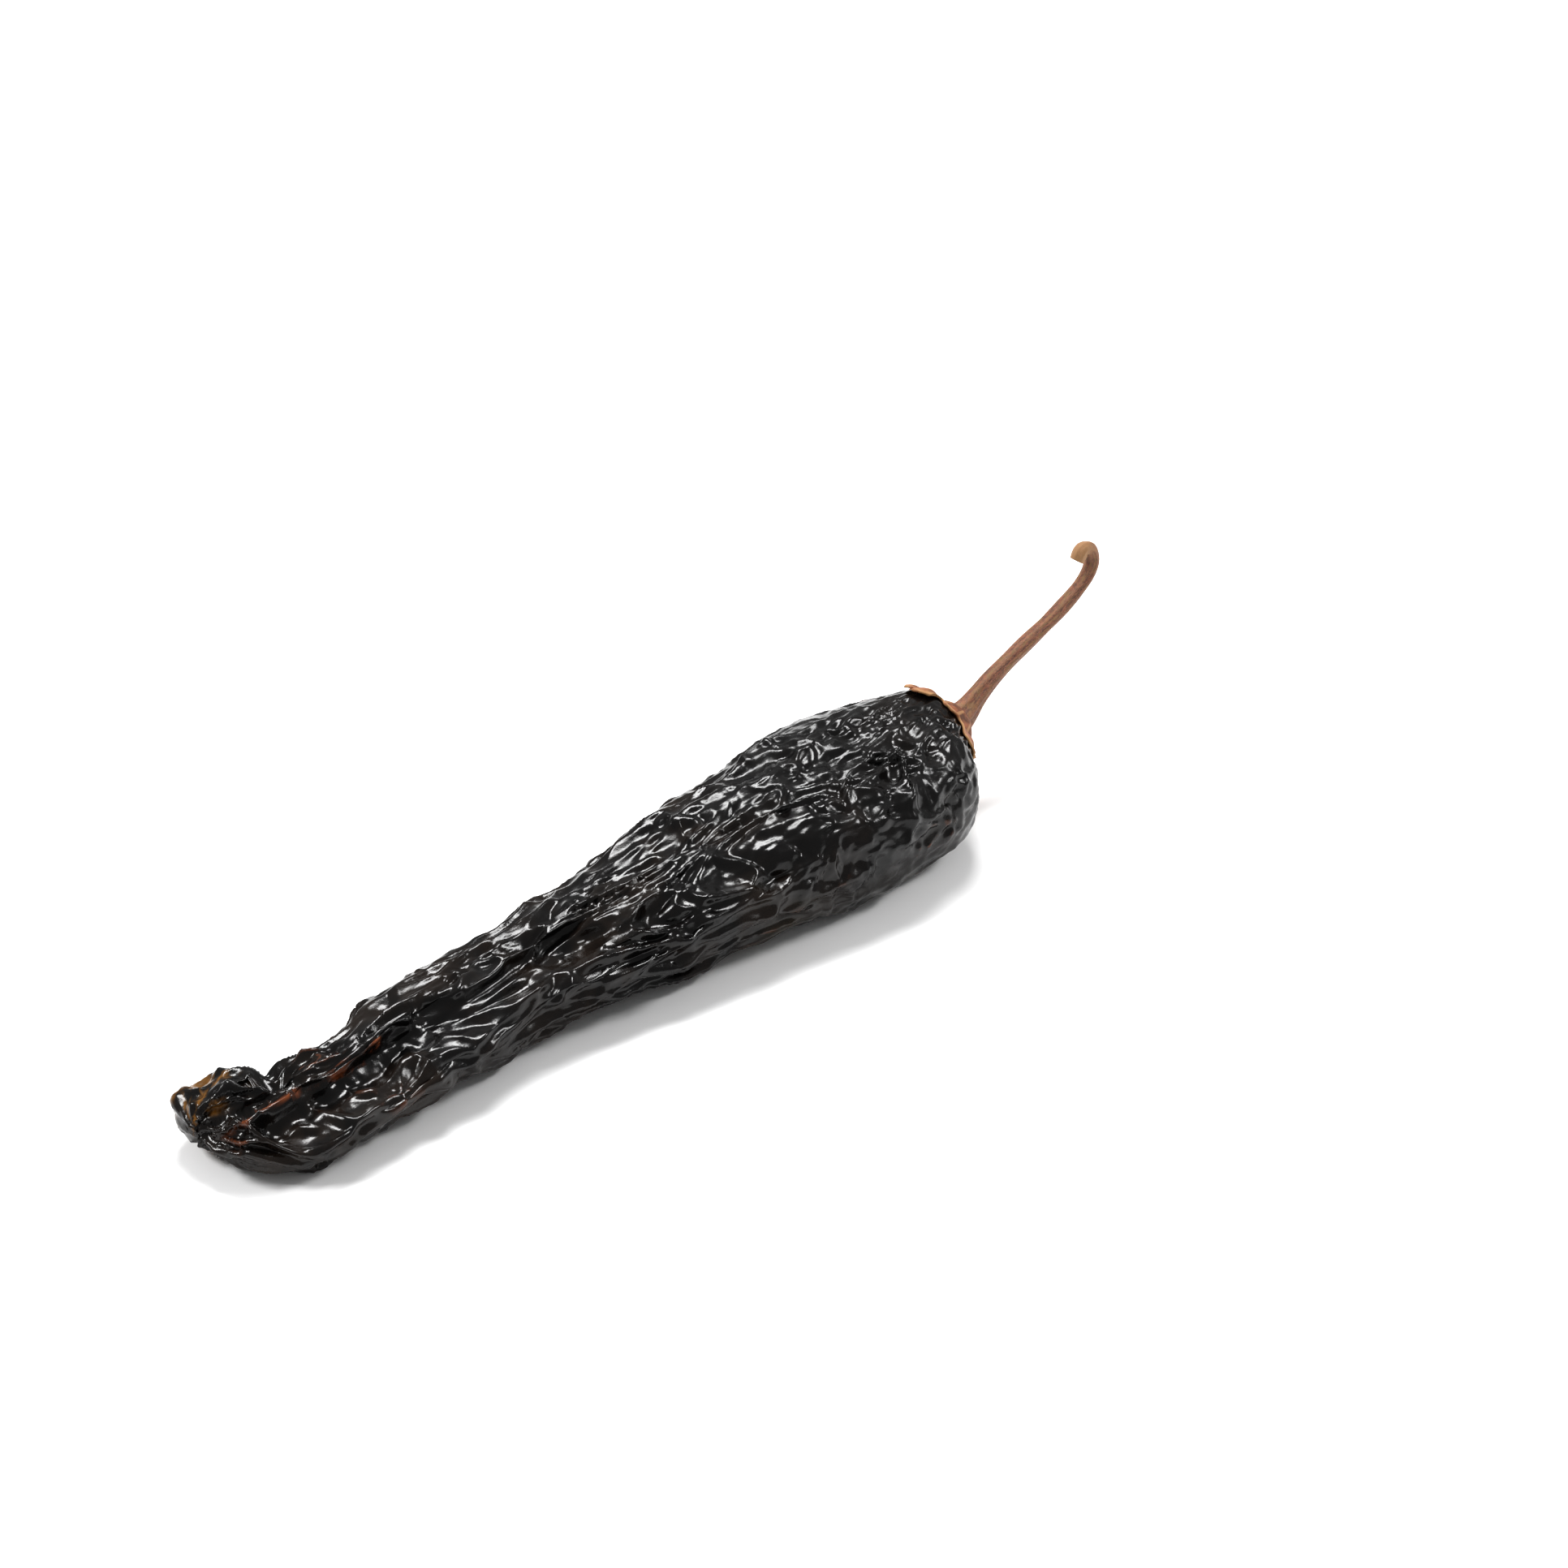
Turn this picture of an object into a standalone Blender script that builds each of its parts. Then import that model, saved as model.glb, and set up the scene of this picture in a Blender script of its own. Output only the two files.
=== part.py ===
"""A dried black chilli pepper lying on its side: the pod, the calyx that caps it and the stem.

Metres, +Z up. The pod runs along +X from its tip to its shoulder, and lies on the plane z = 0.
The origin is the bottom centre of the whole pepper's box.
"""

import math
from collections import namedtuple

import bmesh
import bpy
from mathutils import Matrix, Vector

MM = 0.001

# Driving dimensions
POD_LENGTH = 163 * MM
LOBE_WIDTH = 32 * MM
LOBE_THICKNESS = 14.5 * MM
WAIST_WIDTH = 24.5 * MM
WAIST_THICKNESS = 15.5 * MM
SHOULDER_WIDTH = 38.5 * MM
SHOULDER_THICKNESS = 26 * MM
END_WIDTH = 32.5 * MM
END_THICKNESS = 23 * MM
PRESSED_FLAT = 0.8 * MM  # how much of the underside the table flattens

SEAT_RADIUS = 8.5 * MM  # the flat ring at the pod's end that carries the calyx
SEAT_DIMPLE = 1.6 * MM
SEAT_DRIFT = 2.6 * MM  # of its middle from the middle of the pod's end
SEAT_LIFT = 1.6 * MM
END_TILT = math.radians(9)  # the end faces a little upwards

CALYX_OVERHANG = 2 * MM  # of its rim past the seat
CALYX_LOBES = 5
CALYX_LOBE_DEPTH = 1.1 * MM
CALYX_WALL = 1.1 * MM
CALYX_RISE = 1.8 * MM  # from the rim's underside to the collar under the stem
CALYX_DROOP = 1.5 * MM  # of the overhanging rim

STEM_FOOT_RADIUS = 3.1 * MM
STEM_RADIUS = 1.5 * MM
STEM_KNOB_RADIUS = 1.8 * MM
GAP = 0.3 * MM  # between pieces that touch

# Stem route from its foot: along the pod's end axis, and up from it
STEM_ROUTE = [
    (0, 0),
    (1.5 * MM, 0),
    (3.5 * MM, 0.5 * MM),
    (6.5 * MM, 1.9 * MM),
    (10.5 * MM, 3.5 * MM),
    (17.0 * MM, 5.2 * MM),
    (24.2 * MM, 6.8 * MM),
    (29.0 * MM, 8.2 * MM),
    (32.9 * MM, 9.8 * MM),
    (35.6 * MM, 11.7 * MM),
    (36.9 * MM, 14.2 * MM),
    (36.4 * MM, 16.8 * MM),
    (34.6 * MM, 17.7 * MM),
    (33.0 * MM, 16.2 * MM),
]

# Mesh fineness
SIDES = 20
BODY_RINGS = 24
STEM_POINTS = 30
STEM_BEVEL_RESOLUTION = 4

# A cross-section of the pod. at: share of the length from the tip; drift: sideways shift of its
# middle; lift: height of its underside above the table; furrow: depth of the long groove.
Station = namedtuple("Station", "at width thickness drift lift furrow")
STATIONS = [
    Station(0.03, 0.86 * LOBE_WIDTH, 0.80 * LOBE_THICKNESS, 1.4 * MM, 1.0 * MM, 2.0 * MM),
    Station(0.08, LOBE_WIDTH, LOBE_THICKNESS, 0.8 * MM, 0.0, 3.8 * MM),
    Station(0.15, 0.67 * LOBE_WIDTH, 0.95 * LOBE_THICKNESS, -2.2 * MM, 0.5 * MM, 4.2 * MM),
    Station(0.25, 1.08 * WAIST_WIDTH, 1.00 * WAIST_THICKNESS, -0.4 * MM, 1.2 * MM, 4.0 * MM),
    Station(0.37, 0.97 * WAIST_WIDTH, 0.98 * WAIST_THICKNESS, 0.8 * MM, 1.7 * MM, 3.0 * MM),
    Station(0.50, 1.14 * WAIST_WIDTH, 1.14 * WAIST_THICKNESS, 0.0, 1.1 * MM, 1.8 * MM),
    Station(0.64, 0.84 * SHOULDER_WIDTH, 0.83 * SHOULDER_THICKNESS, 0.0, 0.5 * MM, 1.0 * MM),
    Station(0.80, SHOULDER_WIDTH, SHOULDER_THICKNESS, -0.8 * MM, 0.0, 0.9 * MM),
    Station(0.90, 0.975 * SHOULDER_WIDTH, 0.98 * SHOULDER_THICKNESS, -0.6 * MM, 0.4 * MM, 0.9 * MM),
    Station(0.965, END_WIDTH, END_THICKNESS, -0.4 * MM, 2.4 * MM, 0.7 * MM),
]

# Long grooves pressed into the section. angle: from +Y towards +Z; spread: half-width;
# share: of the station's furrow depth.
Groove = namedtuple("Groove", "angle spread share")
GROOVES = [
    Groove(math.radians(132), math.radians(20), 1.0),
    Groove(math.radians(38), math.radians(24), 0.35),
    Groove(math.radians(-62), math.radians(30), 0.45),
]
SQUARENESS = 2.35  # superellipse exponent of the section

TIP_SLANT = 0.28  # how much further the +Y half of the tip reaches
TIP_SLANT_ENDS = 0.20  # share of the length where the slant has faded
TIP_ROUNDING = [(0.80, 0.45), (0.42, 0.85)]  # (scale, share of the first station's distance)


def clear_scene():
    for old in list(bpy.data.objects):
        bpy.data.objects.remove(old, do_unlink=True)


def material(name, colour, roughness):
    """A plain Principled material."""
    made = bpy.data.materials.new(name)
    made.use_nodes = True
    shader = made.node_tree.nodes["Principled BSDF"]
    shader.inputs["Base Color"].default_value = (*colour, 1)
    shader.inputs["Roughness"].default_value = roughness
    shader.inputs["Metallic"].default_value = 0
    made.diffuse_color = (*colour, 1)
    return made


def object_from_bmesh(name, mesh_builder, collection, coat):
    """Turns a bmesh into a smooth-shaded object with one material."""
    bmesh.ops.recalc_face_normals(mesh_builder, faces=mesh_builder.faces)
    mesh = bpy.data.meshes.new(name)
    mesh_builder.to_mesh(mesh)
    mesh_builder.free()
    mesh.shade_smooth()
    made = bpy.data.objects.new(name, mesh)
    collection.objects.link(made)
    made.data.materials.append(coat)
    return made


def smooth_between(points, where):
    """Cubic through points, a list of (position, value), with gentle ends."""
    for i in range(len(points) - 1):
        (x0, y0), (x1, y1) = points[i], points[i + 1]
        if where <= x1 or i == len(points) - 2:
            before = points[max(i - 1, 0)]
            after = points[min(i + 2, len(points) - 1)]
            slope0 = (y1 - before[1]) / (x1 - before[0])
            slope1 = (after[1] - y0) / (after[0] - x0)
            step = x1 - x0
            t = min(max((where - x0) / step, 0), 1)
            return (
                (2 * t**3 - 3 * t**2 + 1) * y0
                + (t**3 - 2 * t**2 + t) * step * slope0
                + (3 * t**2 - 2 * t**3) * y1
                + (t**3 - t**2) * step * slope1
            )
    return points[-1][1]


def station_at(share):
    """The pod's cross-section at a share of its length."""
    values = [
        smooth_between([(s.at, getattr(s, field)) for s in STATIONS], share)
        for field in Station._fields[1:]
    ]
    return Station(share, *values)


def groove_depth(angle, station):
    """How far the grooves press in at this angle."""
    total = 0
    for groove in GROOVES:
        away = (angle - groove.angle + math.pi) % math.tau - math.pi
        total += groove.share * math.exp(-((away / groove.spread) ** 2))
    return total * station.furrow


def section_point(angle, station, scale=1.0):
    """(sideways, upwards) from the section's middle, on its outline."""
    across, up = math.cos(angle), math.sin(angle)
    half_width, half_height = station.width / 2, station.thickness / 2
    reach = (
        abs(across / half_width) ** SQUARENESS + abs(up / half_height) ** SQUARENESS
    ) ** (-1 / SQUARENESS)
    reach = (reach - groove_depth(angle, station)) * scale
    return reach * across, reach * up


def middle_height(station):
    return station.lift + station.thickness / 2 - PRESSED_FLAT


def body_ring(share, scale=1.0, along=None):
    """One ring of the pod's cage. along overrides the distance from the tip."""
    station = station_at(share)
    x = share * POD_LENGTH if along is None else along
    slant = TIP_SLANT * max(0, 1 - x / (TIP_SLANT_ENDS * POD_LENGTH)) ** 2
    ring = []
    for i in range(SIDES):
        across, up = section_point(math.tau * i / SIDES, station, scale)
        ring.append(
            Vector((x - slant * across, station.drift + across, middle_height(station) + up))
        )
    return ring


def end_frame():
    """Matrix at the middle of the pod's seat: local +Z points out along the end's axis."""
    last = STATIONS[-1]
    height = middle_height(station_at(last.at)) + SEAT_LIFT
    origin = Vector((POD_LENGTH, last.drift + SEAT_DRIFT, height))
    return Matrix.Translation(origin) @ Matrix.Rotation(math.pi / 2 - END_TILT, 4, "Y")


def seat_ring(radius, height):
    """A round ring on the pod's end, in the end's frame, lined up with the body's sides."""
    frame = end_frame()
    ring = []
    for i in range(SIDES):
        angle = math.tau * i / SIDES
        ring.append(frame @ Vector((-radius * math.sin(angle), radius * math.cos(angle), height)))
    return ring


def bridge(builder, rings):
    """Quads between neighbouring rings, and fans to a point at each end."""
    made = [[builder.verts.new(p) for p in ring] for ring in rings]
    for lower, upper in zip(made, made[1:]):
        for i in range(SIDES):
            j = (i + 1) % SIDES
            builder.faces.new((lower[i], lower[j], upper[j], upper[i]))
    for ring in (made[0], made[-1]):
        middle = sum((v.co for v in ring), Vector()) / SIDES
        pole = builder.verts.new(middle)
        for i in range(SIDES):
            builder.faces.new((ring[i], ring[(i + 1) % SIDES], pole))


def build_pod(collection, coat):
    """The fruit: a lofted cage smoothed by subdivision and pressed flat where it lies."""
    first, last = STATIONS[0].at, STATIONS[-1].at
    rings = []
    for scale, share in reversed(TIP_ROUNDING):
        rings.append(body_ring(first, scale, first * POD_LENGTH * (1 - share)))
    for i in range(BODY_RINGS):
        rings.append(body_ring(first + (last - first) * i / (BODY_RINGS - 1)))
    rings.append(seat_ring(SEAT_RADIUS + 0.9 * MM, -0.5 * MM))
    rings.append(seat_ring(SEAT_RADIUS - 0.6 * MM, 0))
    rings.append(seat_ring(0.6 * SEAT_RADIUS, -0.5 * SEAT_DIMPLE))
    rings.append(seat_ring(0.3 * SEAT_RADIUS, -SEAT_DIMPLE))
    builder = bmesh.new()
    bridge(builder, rings)
    pod = object_from_bmesh("pod", builder, collection, coat)
    smoothing = pod.modifiers.new("Subdivision", "SUBSURF")
    smoothing.levels = 1
    smoothing.render_levels = 1
    return pod


def cut_flat(pod, cutters):
    """Takes off what of the pod would be below the table."""
    depth = 20 * MM
    bpy.ops.mesh.primitive_cube_add(size=1, location=(POD_LENGTH / 2, 0, -depth / 2))
    table = bpy.context.object
    table.name = "table_cutter"
    table.scale = (2 * POD_LENGTH, 2 * POD_LENGTH, depth)
    for owner in list(table.users_collection):
        owner.objects.unlink(table)
    cutters.objects.link(table)
    table.hide_render = True
    table.display_type = "WIRE"
    cut = pod.modifiers.new("Pressed flat", "BOOLEAN")
    cut.operation = "DIFFERENCE"
    cut.object = table
    return table


def calyx_reach(angle):
    """The calyx's outline: blunt sepals round the rim."""
    notch = CALYX_LOBE_DEPTH * (0.5 - 0.5 * math.cos(CALYX_LOBES * angle))
    return SEAT_RADIUS + CALYX_OVERHANG - notch


def calyx_height(radius):
    """The underside's height above the seat: a collar in the middle, and a rim that droops."""
    collar = STEM_FOOT_RADIUS + 0.8 * MM
    over = max(0, (radius - SEAT_RADIUS) / CALYX_OVERHANG)
    t = min(max((radius - collar) / (SEAT_RADIUS - collar), 0), 1)
    return CALYX_RISE * (0.5 + 0.5 * math.cos(math.pi * t)) - CALYX_DROOP * over**2


def build_calyx(collection, coat):
    """The cap of dry sepals: an open sheet thickened outwards."""
    steps, sides = 8, 6 * CALYX_LOBES
    builder = bmesh.new()
    pole = builder.verts.new((0, 0, calyx_height(0)))
    rings = []
    for step in range(1, steps + 1):
        ring = []
        for i in range(sides):
            angle = math.tau * i / sides
            radius = calyx_reach(angle) * step / steps
            ring.append(
                builder.verts.new(
                    (radius * math.cos(angle), radius * math.sin(angle), calyx_height(radius))
                )
            )
        rings.append(ring)
    for i in range(sides):
        builder.faces.new((pole, rings[0][i], rings[0][(i + 1) % sides]))
    for lower, upper in zip(rings, rings[1:]):
        for i in range(sides):
            j = (i + 1) % sides
            builder.faces.new((lower[i], upper[i], upper[j], lower[j]))
    calyx = object_from_bmesh("calyx", builder, collection, coat)
    wall = calyx.modifiers.new("Wall", "SOLIDIFY")
    wall.thickness = CALYX_WALL
    wall.offset = 1
    calyx.matrix_world = end_frame() @ Matrix.Translation((0, 0, GAP))
    return calyx


def stem_radius(share):
    """Wide at the foot, even along the stem, and a knob where it left the plant."""
    foot = (STEM_FOOT_RADIUS - STEM_RADIUS) * math.exp(-share / 0.10)
    taper = 0.3 * STEM_RADIUS * (0.5 - share)
    knob = (STEM_KNOB_RADIUS - STEM_RADIUS) * math.exp(-(((1 - share) / 0.05) ** 2))
    return STEM_RADIUS + foot + taper + knob


def build_stem(collection, coat):
    """A tapering tube along a smooth curve through the route's points."""
    count = len(STEM_ROUTE) - 1
    curve = bpy.data.curves.new("stem", "CURVE")
    curve.dimensions = "3D"
    curve.bevel_depth = 1.0
    curve.bevel_resolution = STEM_BEVEL_RESOLUTION
    curve.use_fill_caps = True
    spline = curve.splines.new("POLY")
    spline.points.add(STEM_POINTS - 1)
    for i, point in enumerate(spline.points):
        share = i / (STEM_POINTS - 1)
        out = smooth_between([(k, p[0]) for k, p in enumerate(STEM_ROUTE)], share * count)
        up = smooth_between([(k, p[1]) for k, p in enumerate(STEM_ROUTE)], share * count)
        point.co = (-up, 0, out, 1)
        point.radius = stem_radius(share)
    stem = bpy.data.objects.new("stem", curve)
    collection.objects.link(stem)
    curve.materials.append(coat)
    foot = GAP + CALYX_RISE + CALYX_WALL + GAP
    stem.matrix_world = end_frame() @ Matrix.Translation((0, 0, foot))
    return stem


def centre_on_table(pieces, cutter):
    """Parents everything to an empty that puts the bottom centre of the box at the origin."""
    bpy.context.view_layer.update()
    graph = bpy.context.evaluated_depsgraph_get()
    points = []
    for piece in pieces:
        seen = piece.evaluated_get(graph)
        points += [seen.matrix_world @ v.co for v in seen.to_mesh().vertices]
        seen.to_mesh_clear()
    low = Vector([min(p[axis] for p in points) for axis in range(3)])
    high = Vector([max(p[axis] for p in points) for axis in range(3)])
    holder = bpy.data.objects.new("pepper_origin", None)
    bpy.context.scene.collection.objects.link(holder)
    for piece in [*pieces, cutter]:
        piece.parent = holder
    holder.location = (-(low.x + high.x) / 2, -(low.y + high.y) / 2, 0)


def main():
    clear_scene()
    scene = bpy.context.scene
    pepper = bpy.data.collections.new("chilli_pepper")
    cutters = bpy.data.collections.new("cutters")
    scene.collection.children.link(pepper)
    scene.collection.children.link(cutters)
    skin = material("dried skin", (0.018, 0.014, 0.012), 0.35)
    sepals = material("dry sepals", (0.36, 0.19, 0.09), 0.75)
    wood = material("dry stem", (0.30, 0.14, 0.08), 0.6)
    pod = build_pod(pepper, skin)
    calyx = build_calyx(pepper, sepals)
    stem = build_stem(pepper, wood)
    cutter = cut_flat(pod, cutters)
    centre_on_table([pod, calyx, stem], cutter)


main()
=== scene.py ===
"""The look of a dried black chilli pepper, built round its CAD model.

The pod's skin is grown over the CAD pod and crumpled by a small relaxation, the calyx is draped over
the pod's shoulder, and the stem is swept along the CAD stem's route.
"""

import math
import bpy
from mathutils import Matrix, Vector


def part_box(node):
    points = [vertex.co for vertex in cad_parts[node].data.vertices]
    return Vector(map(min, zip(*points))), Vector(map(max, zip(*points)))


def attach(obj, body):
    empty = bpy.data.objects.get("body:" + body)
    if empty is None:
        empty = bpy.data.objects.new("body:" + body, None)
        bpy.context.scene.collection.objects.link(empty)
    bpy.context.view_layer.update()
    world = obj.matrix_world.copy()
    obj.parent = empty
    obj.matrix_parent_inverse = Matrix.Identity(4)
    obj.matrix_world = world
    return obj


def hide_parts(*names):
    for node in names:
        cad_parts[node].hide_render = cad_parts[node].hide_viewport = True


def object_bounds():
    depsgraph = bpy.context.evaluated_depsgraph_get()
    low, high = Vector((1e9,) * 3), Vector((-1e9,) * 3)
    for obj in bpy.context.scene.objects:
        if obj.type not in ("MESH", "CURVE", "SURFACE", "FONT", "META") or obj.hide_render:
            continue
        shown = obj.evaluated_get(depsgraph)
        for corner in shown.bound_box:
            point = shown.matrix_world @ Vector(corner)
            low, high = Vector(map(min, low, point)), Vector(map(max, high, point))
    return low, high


bl_info = {
    "name": "Dried chilli pepper",
    "version": (1, 0, 0),
    "blender": (4, 5, 0),
    "location": "View3D > Sidebar > Pepper",
    "description": "Builds a shrivelled black chilli pepper with its calyx and stem",
    "category": "Add Mesh",
}

from collections import namedtuple

import bmesh
import bpy
import numpy as np
from bpy.props import FloatProperty, FloatVectorProperty, IntProperty, PointerProperty
from mathutils import Matrix, Vector
from mathutils.bvhtree import BVHTree

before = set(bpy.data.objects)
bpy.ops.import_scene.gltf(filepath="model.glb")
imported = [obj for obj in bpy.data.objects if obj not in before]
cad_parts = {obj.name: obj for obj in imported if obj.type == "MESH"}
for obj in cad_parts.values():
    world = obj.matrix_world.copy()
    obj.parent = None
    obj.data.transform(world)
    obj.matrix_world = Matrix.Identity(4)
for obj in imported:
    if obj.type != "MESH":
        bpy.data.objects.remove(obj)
CAD_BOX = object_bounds()
MM = 0.001
USUAL_RADIUS = 14 * MM  # of the pod, for how many wrinkles go round it


# Settings


def length_prop(name, description, default):
    return FloatProperty(
        name=name, description=description, default=default, unit="LENGTH", precision=5
    )


def colour_prop(name, description, default):
    return FloatVectorProperty(
        name=name, description=description, default=default, subtype="COLOR", min=0, max=1
    )


class SkinSettings(bpy.types.PropertyGroup):
    cell: length_prop("Mesh cell", "Size of the first skin mesh's squares", 0.84 * MM)
    inset: length_prop("Inset", "How far the skin shrinks before it crumples", 0.1 * MM)
    hollow: length_prop("Hollow", "How far a fold may sink while it crumples", 0.5 * MM)
    rounds: IntProperty(name="Rounds", description="How long it crumples", default=60, min=0)
    spare_round: FloatProperty(
        name="Spare skin round", description="Extra skin round the pod", default=0.06, min=0
    )
    spare_along: FloatProperty(
        name="Spare skin along", description="Extra skin along the pod", default=0.03, min=0
    )
    seed: IntProperty(name="Seed", description="Changes where small folds start", default=7)
    black: colour_prop("Black", "The skin's main colour", (0.0040, 0.0036, 0.0036))
    brown: colour_prop("Brown black", "Warmer parts of the skin", (0.014, 0.0095, 0.007))
    olive: colour_prop("Olive", "Where light comes through the skin", (0.060, 0.042, 0.014))
    copper: colour_prop("Copper", "Thin edges of folds", (0.26, 0.075, 0.025))
    amber: colour_prop("Amber", "Clear patches at the tip", (0.42, 0.19, 0.035))


class CalyxSettings(bpy.types.PropertyGroup):
    base: length_prop("Base radius", "From the middle to the notches between sepals", 8.7 * MM)
    thickness: length_prop("Thickness", "Of the dry sheet", 0.4 * MM)
    torn: length_prop("Torn", "How ragged the rim is", 1.0 * MM)
    ribs: IntProperty(name="Ribs", description="Veins from the middle to the rim", default=10)
    rust: colour_prop("Rust", "The sepals' main colour", (0.24, 0.080, 0.030))
    char: colour_prop("Char", "Their darkest specks", (0.075, 0.028, 0.014))
    straw: colour_prop("Straw", "The dry ragged rim", (0.42, 0.235, 0.105))


class StemSettings(bpy.types.PropertyGroup):
    radius: length_prop("Radius", "Half the stem's width along its length", 1.5 * MM)
    foot: length_prop("Foot radius", "Half its width where it leaves the calyx", 3.0 * MM)
    ridges: IntProperty(name="Ridges", description="Long ridges round the stem", default=6)
    red_brown: colour_prop("Red brown", "The stem's main colour", (0.20, 0.072, 0.040))
    dark: colour_prop("Dark", "Its grooves and scars", (0.075, 0.028, 0.018))
    tan: colour_prop("Tan", "Its worn ridges", (0.37, 0.20, 0.10))
    olive: colour_prop("Olive", "Its greener streaks", (0.20, 0.12, 0.045))
    end: colour_prop("Cut end", "The paler wood at its hook", (0.36, 0.20, 0.08))


class StageSettings(bpy.types.PropertyGroup):
    floor: colour_prop("Floor", "The pale floor", (0.93, 0.93, 0.93))
    azimuth: FloatProperty(
        name="Azimuth", description="Camera's turn round the pepper", default=math.radians(-42.6),
        subtype="ANGLE",
    )
    elevation: FloatProperty(
        name="Elevation", description="Camera's height above the horizon",
        default=math.radians(33), subtype="ANGLE",
    )
    distance: length_prop("Distance", "From the camera to its target", 0.95)
    lens: FloatProperty(name="Lens", description="Focal length in millimetres", default=122)


# Mesh numbers


def points_of(mesh):
    found = np.empty(3 * len(mesh.vertices))
    mesh.vertices.foreach_get("co", found)
    return found.reshape(-1, 3)


def normals_of(mesh):
    found = np.empty(3 * len(mesh.vertices))
    mesh.vertices.foreach_get("normal", found)
    return found.reshape(-1, 3)


def set_points(mesh, points):
    mesh.vertices.foreach_set("co", points.ravel())
    mesh.update()


def edges_of(mesh):
    found = np.empty(2 * len(mesh.edges), int)
    mesh.edges.foreach_get("vertices", found)
    return found.reshape(-1, 2)


def diagonals_of(mesh):
    """Both diagonals of each four-sided face."""
    count = np.empty(len(mesh.polygons), int)
    start = np.empty(len(mesh.polygons), int)
    corner = np.empty(len(mesh.loops), int)
    mesh.polygons.foreach_get("loop_total", count)
    mesh.polygons.foreach_get("loop_start", start)
    mesh.loops.foreach_get("vertex_index", corner)
    first = start[count == 4]
    return np.concatenate(
        [
            np.stack([corner[first], corner[first + 2]], 1),
            np.stack([corner[first + 1], corner[first + 3]], 1),
        ]
    )


def add_up(index, values, count):
    """Sums rows of values by index."""
    return np.stack([np.bincount(index, values[:, axis], count) for axis in range(3)], 1)


def around_each(values, edges, count):
    """The mean of each point's neighbours."""
    one, two = edges[:, 0], edges[:, 1]
    share = np.bincount(edges.ravel(), minlength=count)[:, None]
    return (add_up(one, values[two], count) + add_up(two, values[one], count)) / share


def store(mesh, name, values):
    """Keeps one number per point on the mesh for its material."""
    layer = mesh.attributes.new(name, "FLOAT", "POINT")
    layer.data.foreach_set("value", np.ascontiguousarray(values, np.float32))


def ease(low, high, value):
    """0 below low, 1 above high and a smooth rise between."""
    t = np.clip((value - low) / (high - low), 0, 1)
    return t * t * (3 - 2 * t)


def link_object(name, mesh):
    made = bpy.data.objects.new(name, mesh)
    bpy.context.scene.collection.objects.link(made)
    return made


def evaluated_mesh(obj):
    graph = bpy.context.evaluated_depsgraph_get()
    return bpy.data.meshes.new_from_object(obj.evaluated_get(graph))


# The pod's own coordinates

Place = namedtuple("Place", "share angle radius length")


def places_on_pod(points):
    """Share of the length from the tip, angle from +Y towards +Z, and the section's radius."""
    low, high = points[:, 0].min(), points[:, 0].max()
    share = (points[:, 0] - low) / (high - low)
    slots = np.linspace(0.01, 0.99, 60)
    middle_y, middle_z, radius = [], [], []
    for slot in slots:
        near = points[np.abs(share - slot) < 0.02]
        low_y, high_y = near[:, 1].min(), near[:, 1].max()
        low_z, high_z = near[:, 2].min(), near[:, 2].max()
        middle_y.append((low_y + high_y) / 2)
        middle_z.append((low_z + high_z) / 2)
        radius.append((high_y - low_y + high_z - low_z) / 4)
    y = points[:, 1] - np.interp(share, slots, middle_y)
    z = points[:, 2] - np.interp(share, slots, middle_z)
    angle = np.arctan2(z, y) % math.tau
    return Place(share, angle, np.interp(share, slots, radius), high - low)


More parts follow.
